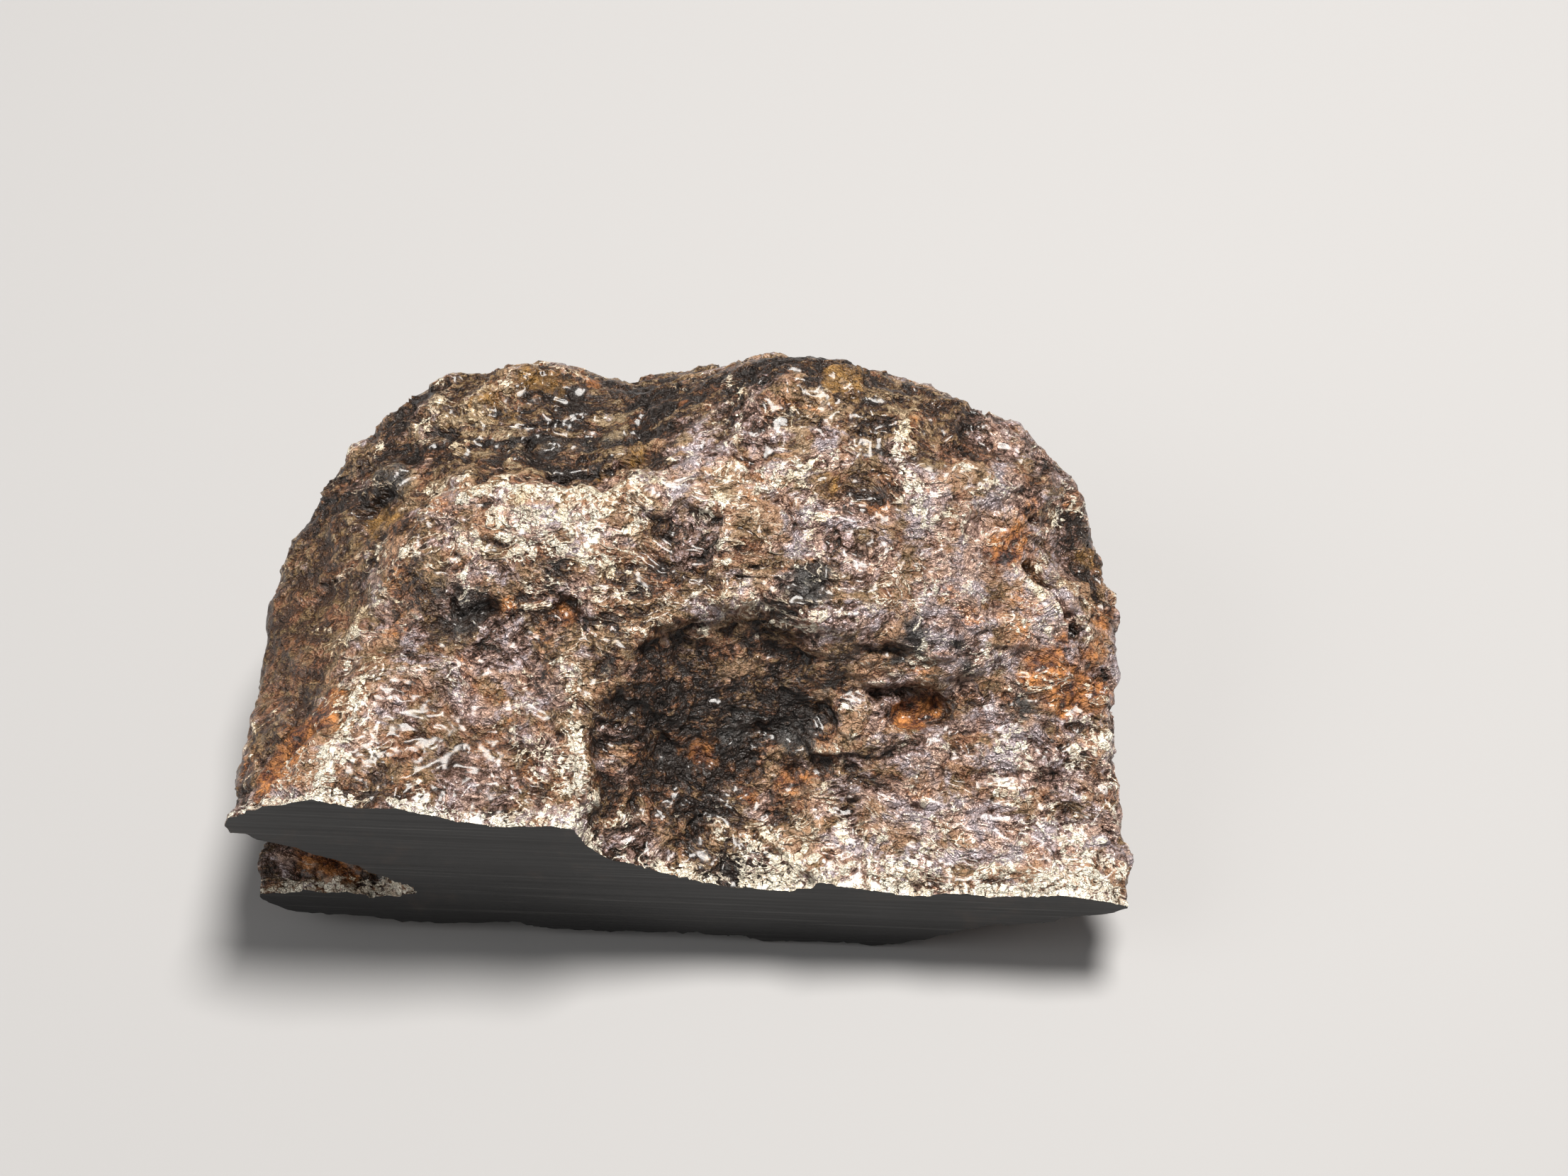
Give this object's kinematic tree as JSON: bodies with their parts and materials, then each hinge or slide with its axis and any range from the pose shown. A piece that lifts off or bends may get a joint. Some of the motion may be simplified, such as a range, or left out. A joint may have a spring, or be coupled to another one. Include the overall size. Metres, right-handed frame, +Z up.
{
  "type": "iron meteorite end cut",
  "caption": "Craggy lump of rusty nickel iron with a natural pitted crust, sawn flat on one side, used as a mineral display piece.",
  "frame": {"origin": "middle of the bounding box, on the surface that the lump rests on", "axes": "+X to the right along the sawn face, +Y away from the sawn face, +Z up"},
  "size_m": [0.054, 0.036, 0.0227],
  "materials": {
    "iron": "dark rusty crust with a semi-gloss preserving coat, bright worn high spots, and a satin grey sawn face"
  },
  "bodies": {
    "root": {"meteorite": "iron"}
  },
  "joints": []
}
